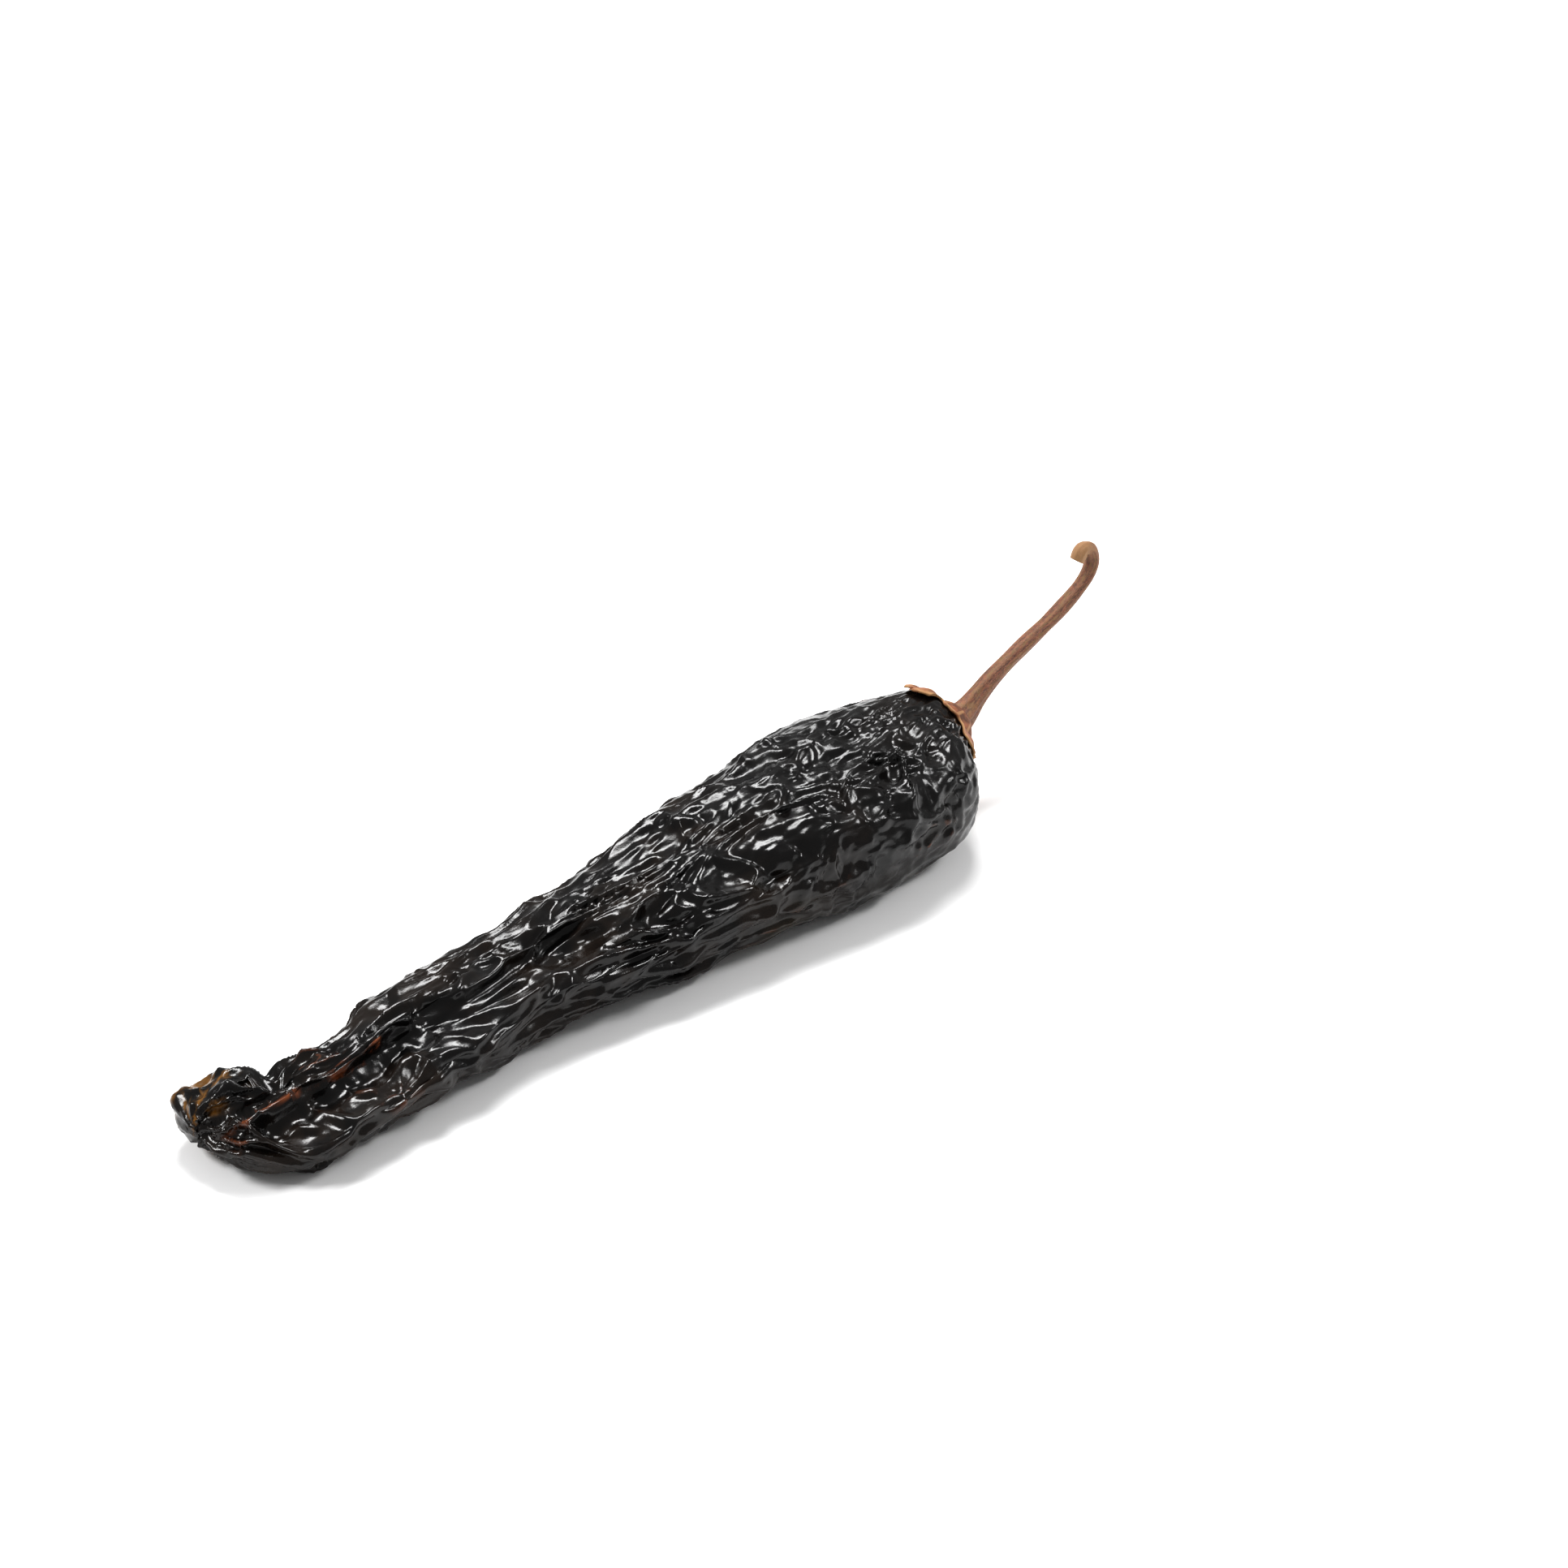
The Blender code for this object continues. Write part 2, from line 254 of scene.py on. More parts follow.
# A fold runs through points (share of the length, angle in degrees). height and width are in
# millimetres; a valley's height is below 0. sharp folds come to an edge.
Fold = namedtuple("Fold", "points height width sharp")
FOLDS = [
    # the long furrow
    Fold([(0.06, 138), (0.12, 131), (0.20, 125), (0.29, 126), (0.38, 121), (0.46, 112)], -1.7, 2.5, 0),
    # the fold between the tip's two lobes, and the creases beside it
    Fold(
        [(0.00, 200), (0.011, 184), (0.034, 138), (0.06, 124), (0.091, 116), (0.137, 110), (0.20, 105)],
        1.6, 1.2, 1,
    ),
    Fold([(0.03, 98), (0.07, 96), (0.13, 92)], -1.8, 2.4, 0),
    Fold([(0.03, 172), (0.06, 158), (0.11, 145)], -1.2, 2.4, 0),
    Fold([(0.094, 58), (0.094, 84)], -1.8, 1.5, 0),
    # the tip's lobes: the upper one's rims, the notch behind it, the lower one's blunt corner
    Fold([(0.01, 12), (0.038, 30), (0.075, 30)], 1.6, 1.4, 1),
    Fold([(0.045, 52), (0.075, 48)], 1.8, 2.6, 0),
    Fold([(0.108, 10), (0.105, 40), (0.10, 66)], -2.3, 1.9, 0),
    Fold([(0.135, 30), (0.15, 48)], 1.4, 1.4, 0),
    Fold([(0.075, 222), (0.092, 216)], 1.5, 2.2, 0),
    Fold([(0.118, 226), (0.12, 206)], -1.3, 1.4, 0),
    Fold([(0.01, 40), (0.03, 66), (0.055, 82), (0.085, 78)], 1.0, 1.0, 1),
    # keels along both sides
    Fold([(0.14, 36), (0.30, 33), (0.46, 33), (0.62, 40), (0.80, 44)], 0.9, 1.8, 1),
    Fold([(0.30, 214), (0.50, 216), (0.70, 214), (0.84, 214), (0.96, 206)], 1.1, 1.8, 1),
    # the ridge below the furrow, and its branches
    Fold([(0.084, 169), (0.154, 172), (0.243, 170), (0.30, 164), (0.38, 156)], 1.0, 1.6, 1),
    Fold([(0.24, 186), (0.29, 178), (0.38, 174), (0.45, 160), (0.51, 154)], 1.0, 1.3, 1),
    Fold([(0.45, 160), (0.47, 146), (0.50, 128), (0.55, 122), (0.60, 114)], 0.8, 1.2, 1),
    # long folds along the lower side
    Fold([(0.32, 200), (0.40, 194), (0.50, 187), (0.58, 183), (0.66, 180)], 1.0, 1.2, 1),
    Fold([(0.34, 212), (0.43, 204), (0.52, 197), (0.62, 192)], 0.9, 1.1, 1),
    Fold([(0.38, 186), (0.46, 179), (0.55, 172), (0.62, 166)], 0.8, 1.1, 1),
    Fold([(0.36, 206), (0.46, 198), (0.58, 190), (0.68, 187)], -0.8, 1.4, 0),
    # crests on the wide part
    Fold([(0.576, 139), (0.624, 160), (0.668, 172)], 0.9, 1.2, 1),
    Fold([(0.552, 125), (0.602, 115), (0.622, 121)], 0.7, 1.0, 1),
    Fold([(0.64, 40), (0.624, 90), (0.65, 88)], 0.8, 1.2, 1),
    Fold([(0.701, 116), (0.735, 120), (0.761, 123)], 0.8, 1.1, 1),
    Fold([(0.63, 182), (0.67, 188), (0.72, 196)], 0.8, 1.2, 1),
    # the ring fold and the smooth band by the shoulder
    Fold([(0.875, 118), (0.869, 133), (0.848, 156), (0.831, 176)], 1.0, 1.1, 1),
    Fold([(0.85, 124), (0.845, 140), (0.825, 160)], -0.7, 1.5, 0),
    Fold([(0.74, 172), (0.83, 186), (0.92, 184)], -0.5, 3.0, 0),
    # the sunken upper face
    Fold([(0.42, 84), (0.56, 88), (0.70, 92), (0.84, 96)], -0.9, 7.0, 0),
    # the far side and the underside
    Fold([(0.16, 352), (0.30, 356), (0.44, 350), (0.60, 354), (0.74, 350)], 0.9, 1.4, 1),
    Fold([(0.22, 12), (0.36, 8), (0.50, 14), (0.66, 12), (0.86, 16)], 0.8, 1.3, 1),
    Fold([(0.30, 332), (0.45, 338), (0.62, 332), (0.80, 336)], 0.8, 1.5, 1),
    Fold([(0.18, 290), (0.32, 284), (0.48, 292), (0.60, 288)], 0.7, 1.4, 1),
    Fold([(0.14, 252), (0.26, 246), (0.42, 250), (0.55, 244)], 0.7, 1.4, 1),
    Fold([(0.70, 20), (0.78, 30), (0.86, 26)], 0.8, 1.2, 1),
]


def off_fold(place, fold):
    """Each point's distance from the fold's line, over the skin, in millimetres."""
    nearest = np.full(len(place.share), 1e9)
    for (share0, angle0), (share1, angle1) in zip(fold.points, fold.points[1:]):
        turn = (place.angle - math.radians(angle0) + math.pi) % math.tau - math.pi
        x = (place.share - share0) * place.length / MM
        y = turn * place.radius / MM
        run_x = (share1 - share0) * place.length / MM
        run_y = math.radians(angle1 - angle0) * place.radius / MM
        t = np.clip((x * run_x + y * run_y) / (run_x**2 + run_y**2), 0, 1)
        nearest = np.minimum(nearest, np.hypot(x - t * run_x, y - t * run_y))
    return nearest


def fold_height(place, rng, height_share=1.0, width_share=1.0, only_sharp=False):
    """How far the folds raise or sink the skin, in metres."""
    wander = waves(rng, place, 9 * MM, 1.5)
    fade = 0.75 + 0.35 * waves(rng, place, 12 * MM, 1.5)
    bent = place._replace(
        share=place.share + 0.5 * MM / place.length * wander,
        angle=place.angle + 0.05 * waves(rng, place, 9 * MM, 1.5),
    )
    rise, fall = np.zeros(len(place.share)), np.zeros(len(place.share))
    for fold in FOLDS:
        if only_sharp and not fold.sharp:
            continue
        away = off_fold(bent, fold) / (fold.width * width_share)
        shape = np.exp(-away) if fold.sharp else np.exp(-(away**2))
        height = fold.height * height_share * MM * shape * (fade if fold.sharp else 1)
        if fold.height > 0:
            rise = np.maximum(rise, height)
        else:
            fall += height
    return rise + fall


def waves(rng, place, wavelength, stretch, count=60):
    """A field of random waves over the skin, drawn out lengthwise, about 1 high."""
    total = np.zeros(len(place.share))
    for _ in range(count):
        heading = rng.uniform(0, math.pi)
        turns = round(math.tau * USUAL_RADIUS / wavelength * math.cos(heading))
        along = math.tau * place.length / (wavelength * stretch) * math.sin(heading)
        phase = rng.uniform(0, math.tau)
        total += np.cos(turns * place.angle + along * place.share + phase)
    return total / math.sqrt(count / 2)


def hollows(rng, place, long, wide, wander=0.3, floor=0.36):
    """Flat-sided hollows packed over the skin, each long by wide: 0 on the crests between them
    and down to about -1 inside, so that the crests stay level and the hollows differ."""
    columns = round(math.tau * USUAL_RADIUS / wide)
    rows = int(place.length / long) + 4
    seeds = rng.uniform(0, 1, (rows, columns, 3))
    u = place.share * place.length / long + 1 + wander * waves(rng, place, 1.6 * long, 1)
    v = place.angle / math.tau * columns + wander * waves(rng, place, 2.4 * wide, long / wide)
    row, column = np.floor(u).astype(int), np.floor(v).astype(int)
    near_u, near_v, depth = np.zeros(len(u)), np.zeros(len(u)), np.zeros(len(u))
    nearest = np.full(len(u), 9.0)
    others = []
    for down in (-1, 0, 1):
        for across in (-1, 0, 1):
            i, j = np.clip(row + down, 0, rows - 1), (column + across) % columns
            off_u = row + down + seeds[i, j, 0] - u
            off_v = column + across + seeds[i, j, 1] - v
            away = np.hypot(off_u, off_v)
            found = away < nearest
            near_u, near_v = np.where(found, off_u, near_u), np.where(found, off_v, near_v)
            depth = np.where(found, 0.45 + 0.9 * seeds[i, j, 2], depth)
            nearest = np.minimum(nearest, away)
            others.append((off_u, off_v))
    border = np.full(len(u), 9.0)
    for off_u, off_v in others:
        apart = np.hypot(off_u - near_u, off_v - near_v)
        gap = (off_u**2 + off_v**2 - nearest**2) / (2 * np.maximum(apart, 1e-9))
        border = np.where(apart > 1e-6, np.minimum(border, gap), border)
    return -depth * np.minimum(border / floor, 1)


Zones = namedtuple("Zones", "body low_side shoulder tip quiet")


def zones_of(place):
    """Shares of the skin's kinds of wrinkle at each point, and how much it wrinkles at all."""
    share, angle = place.share, np.degrees(place.angle)
    low_side = np.exp(-(((angle - 200) / 27) ** 2)) * ease(0.24, 0.36, share)
    low_side *= 1 - ease(0.66, 0.78, share)
    shoulder = ease(0.60, 0.80, share) * (1 - low_side)
    tip = (1 - ease(0.10, 0.22, share)) * (1 - low_side)
    band = np.exp(-(((angle - 205) / 22) ** 2)) * ease(0.72, 0.80, share)
    band *= 1 - ease(0.93, 0.98, share)
    far_edge = np.exp(-(((angle - 38) / 22) ** 2)) * ease(0.2, 0.3, share)
    quiet = 1 - 0.8 * band - 0.5 * far_edge
    return Zones(1 - low_side - shoulder - tip, low_side, shoulder, tip, quiet)


def wrinkles(rng, place, zones):
    """The skin's hollows and creases, in metres."""
    big = hollows(rng, place, 17 * MM, 6.6 * MM, 0.4)
    long = hollows(rng, place, 38 * MM, 4.4 * MM, 0.25)
    end = hollows(rng, place, 10 * MM, 7 * MM)
    middle = hollows(rng, place, 11 * MM, 5.2 * MM, 0.4)
    near = hollows(rng, place, 6.5 * MM, 4.8 * MM, 0.4)
    small = hollows(rng, place, 4.4 * MM, 2.6 * MM)
    patchy = ease(-1.0, 0.6, waves(rng, place, 13 * MM, 1.6))
    height = zones.body * (1.6 * big + 1.0 * middle * (0.3 + 0.7 * patchy) + 0.12 * small * patchy)
    height += zones.low_side * (2.5 * long + 0.2 * middle)
    height += zones.shoulder * (0.8 * big + 0.9 * near * (0.3 + 0.7 * patchy) + 0.45 * small)
    height += zones.tip * (1.7 * end + 0.4 * middle)
    in_furrow = np.exp(-((off_fold(place, FOLDS[0]) / 3.5) ** 2))
    return height * zones.quiet * (1 - 0.55 * in_furrow) * MM


Slack = namedtuple("Slack", "around along hold")


def crumple(mesh, points, slack, steps, stiffness, pull, hollow):
    """Lets skin with spare length buckle over a firm body for a given number of steps."""
    rest, normal = points_of(mesh), normals_of(mesh)
    edges = edges_of(mesh)
    links = np.concatenate([edges, diagonals_of(mesh)])
    one, two = links[:, 0], links[:, 1]
    count = len(rest)
    run = rest[two] - rest[one]
    out = normal[one] + normal[two]
    turned = np.cross(out, (1.0, 0.0, 0.0))
    turned /= np.maximum(np.linalg.norm(turned, axis=1), 1e-9)[:, None]
    across = (run * turned).sum(1)
    rest_along = np.sqrt(np.maximum((run**2).sum(1) - across**2, 0))
    grow_around = (slack.around[one] + slack.around[two]) / 2
    grow_along = (slack.along[one] + slack.along[two]) / 2
    wanted = np.hypot(across * grow_around, rest_along * grow_along)
    share = np.bincount(links.ravel(), minlength=count)[:, None]
    hold = slack.hold[:, None]
    for _ in range(steps):
        step = points[two] - points[one]
        long = np.linalg.norm(step, axis=1)
        fix = step * (0.5 * (long - wanted) / long)[:, None]
        points = points + 1.6 * (add_up(one, fix, count) - add_up(two, fix, count)) / share
        bend = around_each(points, edges, count) - points
        points = points + 0.004 * bend - stiffness * (around_each(bend, edges, count) - bend)
        height = ((points - rest) * normal).sum(1)[:, None]
        points = points - normal * (pull * height + 0.5 * np.minimum(height + hollow, 0))
        points = points - hold * (points - rest)
        points[:, 2] = np.maximum(points[:, 2], 0)
    return points


def remeshed_pod(cell):
    """An even mesh of small squares in the shape of the CAD pod, smoothed a little."""
    skin = link_object("pod_skin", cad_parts["pod"].data.copy())
    for other in bpy.context.selected_objects:
        other.select_set(False)
    skin.select_set(True)
    bpy.context.view_layer.objects.active = skin
    skin.data.remesh_voxel_size = cell
    bpy.ops.object.voxel_remesh()
    points, edges = points_of(skin.data), edges_of(skin.data)
    for _ in range(6):
        points += 0.5 * (around_each(points, edges, len(points)) - points)
    set_points(skin.data, points)
    return skin


def seat_hold_of(points):
    """1 under the calyx, 0 away from it."""
    low, high = (Vector(corner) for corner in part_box("calyx"))
    middle = np.array((low + high) / 2)
    away = np.linalg.norm(points - middle, axis=1)
    return 1 - ease(8.5 * MM, 12.5 * MM, away)


def finer(skin):
    """Splits each square of the skin in four."""
    split = skin.modifiers.new("Finer", "SUBSURF")
    split.levels = 1
    split.render_levels = 1
    mesh = evaluated_mesh(skin)
    skin.modifiers.clear()
    skin.data = mesh


def build_skin(settings):
    rng = np.random.default_rng(settings.seed)
    skin = remeshed_pod(settings.cell)
    mesh = skin.data
    body = points_of(mesh) - settings.inset * normals_of(mesh)
    place = places_on_pod(body)
    zones = zones_of(place)
    free = 1 - seat_hold_of(body)
    set_points(mesh, body)
    relief = fold_height(place, rng) + 0.2 * MM * waves(rng, place, 18 * MM, 1.8)
    shaped = body + normals_of(mesh) * (relief * free)[:, None]
    set_points(mesh, shaped)
    grow = zones.quiet * free
    slack = Slack(1 + settings.spare_round * grow, 1 + settings.spare_along * grow, 0.4 * (1 - free))
    shaped = crumple(mesh, shaped, slack, settings.rounds, 0.08, 0.004, settings.hollow)
    set_points(mesh, shaped)
    finer(skin)
    mesh = skin.data
    points = points_of(mesh)
    place = places_on_pod(points)
    free = 1 - seat_hold_of(points)
    zones = zones_of(place)
    relief = wrinkles(rng, place, zones) + fold_height(place, rng, 0.55, 0.5, True)
    points = points + normals_of(mesh) * (relief * free)[:, None]
    set_points(mesh, points)
    grow = zones.quiet * free
    slack = Slack(1 + 0.015 * grow, 1 + 0.01 * grow, 0.4 * (1 - free))
    points = crumple(mesh, points, slack, 25, 0.05, 0.03, 0.3 * MM)
    set_points(mesh, points)
    return skin


def mark_skin(mesh):
    """Numbers for the material: sharp crests, clear patches, and the shoulder, which is duller and gets
    painted shade in its colour.
    """
    points, edges = points_of(mesh), edges_of(mesh)
    place = places_on_pod(points)
    smooth = points
    for _ in range(6):
        smooth = smooth + 0.6 * (around_each(smooth, edges, len(points)) - smooth)
    crest = ((points - smooth) * normals_of(mesh)).sum(1) / (0.12 * MM)
    angle = np.degrees(place.angle)
    lobe = (1 - ease(0.04, 0.08, place.share)) * np.exp(-(((angle - 36) / 24) ** 2))
    far = (1 - ease(0.03, 0.07, place.share)) * np.exp(-(((angle - 300) / 50) ** 2))
    fold = np.exp(-((off_fold(place, FOLDS[1]) / 0.45) ** 2)) * ease(0.01, 0.03, place.share)
    store(mesh, "crest", np.clip(crest, -1, 1))
    store(mesh, "clear", np.clip(lobe + 0.4 * far, 0, 1))
    store(mesh, "rusty_fold", fold)
    # Shoulder share: gives the shoulder a rougher finish and paints shade into the skin's colour there
    store(mesh, "shoulder", ease(0.6, 0.85, place.share))


# Materials


class Nodes:
    """Short words for making a material's nodes."""

    def __init__(self, name):
        self.material = bpy.data.materials.new(name)
        self.material.use_nodes = True
        self.tree = self.material.node_tree
        self.shader = self.tree.nodes["Principled BSDF"]

    def node(self, kind, **settings):
        made = self.tree.nodes.new("ShaderNode" + kind)
        for key, value in settings.items():
            setattr(made, key, value)
        return made

    def feed(self, socket, value):
        if isinstance(value, bpy.types.NodeSocket):
            self.tree.links.new(value, socket)
        elif hasattr(value, "__len__") and len(value) == 3 and socket.type == "RGBA":
            socket.default_value = (*value, 1)
        else:
            socket.default_value = value

    def position(self, scale=(1, 1, 1)):
        where = self.node("TexCoord").outputs["Object"]
        mapping = self.node("Mapping")
        self.feed(mapping.inputs["Vector"], where)
        mapping.inputs["Scale"].default_value = scale
        return mapping.outputs["Vector"]

    def noise(self, where, scale, detail=4, roughness=0.55, distortion=0):
        made = self.node("TexNoise")
        self.feed(made.inputs["Vector"], where)
        self.feed(made.inputs["Scale"], scale)
        self.feed(made.inputs["Detail"], detail)
        self.feed(made.inputs["Roughness"], roughness)
        self.feed(made.inputs["Distortion"], distortion)
        return made.outputs["Fac"]

    def attribute(self, name):
        return self.node("Attribute", attribute_name=name).outputs["Fac"]

    def spread(self, value, low, high, to_low=0.0, to_high=1.0):
        """Maps low..high of value on to to_low..to_high, smoothly."""
        made = self.node("MapRange", interpolation_type="SMOOTHSTEP")
        self.feed(made.inputs["Value"], value)
        for key, number in zip(
            ("From Min", "From Max", "To Min", "To Max"), (low, high, to_low, to_high)
        ):
            self.feed(made.inputs[key], number)
        return made.outputs["Result"]

    def combine(self, operation, one, two):
        made = self.node("Math", operation=operation)
        self.feed(made.inputs[0], one)
        self.feed(made.inputs[1], two)
        return made.outputs[0]

    def blend(self, share, one, two):
        made = self.node("Mix", data_type="RGBA")
        self.feed(made.inputs[0], share)
        self.feed(made.inputs[6], one)
        self.feed(made.inputs[7], two)
        return made.outputs[2]

    def bump(self, height, depth, strength=1.0, below=None):
        made = self.node("Bump")
        self.feed(made.inputs["Height"], height)
        self.feed(made.inputs["Distance"], depth)
        self.feed(made.inputs["Strength"], strength)
        if below is not None:
            self.feed(made.inputs["Normal"], below)
        return made.outputs["Normal"]


def skin_material(settings):
    n = Nodes("dried_skin")
    where = n.position()
    lengthwise = n.position((0.45, 1, 1))
    shoulder = n.attribute("shoulder")
    crest = n.attribute("crest")
    clear = n.attribute("clear")
    patchy = n.noise(where, 70, 5, 0.6, 0.6)
    # Brown patches by noise, fewer towards the shoulder: a warmer tip half, and painted shade that
    # darkens the shoulder
    brown = n.combine("MULTIPLY", n.spread(patchy, 0.42, 0.68), n.spread(shoulder, 0, 1, 1, 0.35))
    colour = n.blend(brown, settings.black, settings.brown)
    olive = n.spread(n.noise(lengthwise, 42, 3, 0.5), 0.62, 0.76, 0, 0.5)
    # The olive also fades towards the shoulder, as painted shade
    olive = n.combine("MULTIPLY", olive, n.spread(shoulder, 0, 1, 1, 0.25))
    colour = n.blend(olive, colour, settings.olive)
    edge = n.combine("MULTIPLY", n.spread(crest, 0.5, 1.0), n.spread(n.noise(where, 34, 3), 0.63, 0.75))
    colour = n.blend(n.combine("MULTIPLY", edge, 0.45), colour, settings.copper)
    fold = n.combine("MULTIPLY", n.attribute("rusty_fold"), n.spread(n.noise(where, 160, 4), 0.42, 0.56))
    colour = n.blend(n.combine("MULTIPLY", fold, 0.75), colour, settings.copper)
    amber = n.combine("MULTIPLY", clear, n.spread(n.noise(where, 130, 4, 0.6, 0.4), 0.47, 0.62))
    colour = n.blend(n.combine("MULTIPLY", amber, 0.85), colour, settings.amber)
    n.feed(n.shader.inputs["Base Color"], colour)
    dull = n.spread(n.noise(where, 260, 5, 0.6), 0.3, 0.7, 0.12, 0.24)
    dull = n.combine("ADD", dull, n.spread(shoulder, 0, 1, 0, 0.05))
    n.feed(n.shader.inputs["Roughness"], dull)
    n.shader.inputs["IOR"].default_value = 1.38
    ripples = n.noise(lengthwise, 520, 3, 0.5, 0.8)
    grain = n.noise(where, 2600, 3, 0.6)
    normal = n.bump(ripples, 0.10 * MM, 0.4)
    normal = n.bump(grain, 0.04 * MM, 0.5, normal)
    n.feed(n.shader.inputs["Normal"], normal)
    return n.material


def calyx_material(settings):
    n = Nodes("dry_sepals")
    where = n.position()
    rim = n.attribute("rim")
    rib = n.attribute("rib")
    mottled = n.noise(where, 420, 5, 0.65, 0.5)
    colour = n.blend(n.spread(mottled, 0.35, 0.66), settings.rust, settings.char)
    straw = n.combine("MULTIPLY", n.spread(rim, 0.78, 0.98, 0, 0.85), n.spread(mottled, 0.3, 0.55))
    colour = n.blend(straw, colour, settings.straw)
    colour = n.blend(n.spread(rib, 0.5, 1.0, 0, 0.55), colour, settings.straw)
    n.feed(n.shader.inputs["Base Color"], colour)
    n.feed(n.shader.inputs["Roughness"], n.spread(mottled, 0.3, 0.7, 0.62, 0.85))
    normal = n.bump(n.noise(where, 1500, 5, 0.6), 0.15 * MM, 0.7)
    n.feed(n.shader.inputs["Normal"], normal)
    return n.material


def stem_material(settings):
    n = Nodes("dry_stem")
    ridge = n.attribute("around")
    along = n.attribute("along")
    lines = n.node("CombineXYZ")
    n.feed(lines.inputs[0], n.combine("MULTIPLY", along, 9.0))
    n.feed(lines.inputs[1], n.attribute("round_x"))
    n.feed(lines.inputs[2], n.attribute("round_y"))
    streaks = n.noise(lines.outputs[0], 5.0, 5, 0.6, 0.3)
    fine = n.noise(lines.outputs[0], 17.0, 4, 0.6)
    where = n.position()
    blotch = n.noise(where, 230, 4, 0.6)
    colour = n.blend(n.spread(streaks, 0.38, 0.60), settings.dark, settings.red_brown)
    colour = n.blend(n.spread(fine, 0.50, 0.72, 0, 0.8), colour, settings.tan)
    colour = n.blend(n.spread(ridge, 0.2, 1.0, 0, 0.25), colour, settings.tan)
    olive = n.noise(lines.outputs[0], 2.4, 2, 0.5)
    colour = n.blend(n.spread(olive, 0.48, 0.66, 0, 0.6), colour, settings.olive)
    colour = n.blend(n.spread(along, 0.86, 0.97, 0, 0.65), colour, settings.end)
    colour = n.blend(n.spread(blotch, 0.64, 0.76, 0, 0.45), colour, settings.dark)
    n.feed(n.shader.inputs["Base Color"], colour)
    n.feed(n.shader.inputs["Roughness"], n.spread(streaks, 0.3, 0.7, 0.5, 0.7))
    normal = n.bump(fine, 0.18 * MM, 0.8)
    normal = n.bump(n.noise(where, 2400, 3, 0.6), 0.05 * MM, 0.6, normal)
    n.feed(n.shader.inputs["Normal"], normal)
    return n.material


def floor_material(settings):
    n = Nodes("pale_floor")
    shade = n.noise(n.position(), 3, 2)
    colour = n.blend(n.spread(shade, 0.3, 0.7), settings.floor, (0.95, 0.95, 0.95))
    n.feed(n.shader.inputs["Base Color"], colour)
    n.shader.inputs["Roughness"].default_value = 0.9
    n.shader.inputs["Specular IOR Level"].default_value = 0.1
    return n.material


# The calyx and the stem stand in the frame of the pod's end: out along its axis, and up from it

END_TILT = math.radians(9)
STEM_ROUTE = [
    (0, 0),
    (1.5 * MM, 0),
    (3.5 * MM, 0.5 * MM),
    (6.5 * MM, 1.9 * MM),
    (10.5 * MM, 3.5 * MM),
    (17.0 * MM, 5.2 * MM),
    (24.2 * MM, 6.8 * MM),
    (29.0 * MM, 8.2 * MM),
    (32.9 * MM, 9.8 * MM),
    (35.6 * MM, 11.7 * MM),
    (36.9 * MM, 14.2 * MM),
    (36.4 * MM, 16.8 * MM),
    (34.6 * MM, 17.7 * MM),
    (33.0 * MM, 16.2 * MM),
]


def end_turn():
    return Matrix.Rotation(math.pi / 2 - END_TILT, 4, "Y")


# How far up its axis the CAD stem's foot is averaged, as its first ring stands at a slight tilt
FOOT_DEPTH = 0.8 * MM


def stem_foot():
    """The middle of the face that the CAD stem stands on."""
    points = points_of(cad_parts["stem"].data)
    height = points @ np.array(end_turn().to_3x3().col[2])
    return Vector(points[height < height.min() + FOOT_DEPTH].mean(0))


def curve_through(points, count):
    """count points evenly spaced on a smooth line through points."""
    points = np.array(points, float)
    ends = np.vstack([2 * points[0] - points[1], points, 2 * points[-1] - points[-2]])
    dense = []
    for i in range(1, len(ends) - 2):
        p0, p1, p2, p3 = ends[i - 1 : i + 3]
        for t in np.linspace(0, 1, 40, endpoint=False):
            dense.append(
                0.5
                * (
                    2 * p1
                    + (p2 - p0) * t
                    + (2 * p0 - 5 * p1 + 4 * p2 - p3) * t**2
                    + (3 * p1 - p0 - 3 * p2 + p3) * t**3
                )
            )
    dense.append(points[-1])
    dense = np.array(dense)
    reach = np.concatenate([[0], np.cumsum(np.linalg.norm(np.diff(dense, axis=0), axis=1))])
    even = np.linspace(0, reach[-1], count)
    return np.stack([np.interp(even, reach, dense[:, axis]) for axis in range(2)], 1)


def tube_mesh(name, rings):
    """Quads between rings of points, closed by a fan at each end."""
    build = bmesh.new()
    made = [[build.verts.new(point) for point in ring] for ring in rings]
    sides = len(rings[0])
    for lower, upper in zip(made, made[1:]):
        for i in range(sides):
            j = (i + 1) % sides
            build.faces.new((lower[i], lower[j], upper[j], upper[i]))
    for ring in (made[0], made[-1]):
        pole = build.verts.new(sum((v.co for v in ring), Vector()) / sides)
        for i in range(sides):
            build.faces.new((ring[i], ring[(i + 1) % sides], pole))
    bmesh.ops.recalc_face_normals(build, faces=build.faces)
    mesh = bpy.data.meshes.new(name)
    build.to_mesh(mesh)
    build.free()
    mesh.shade_smooth()
    return mesh


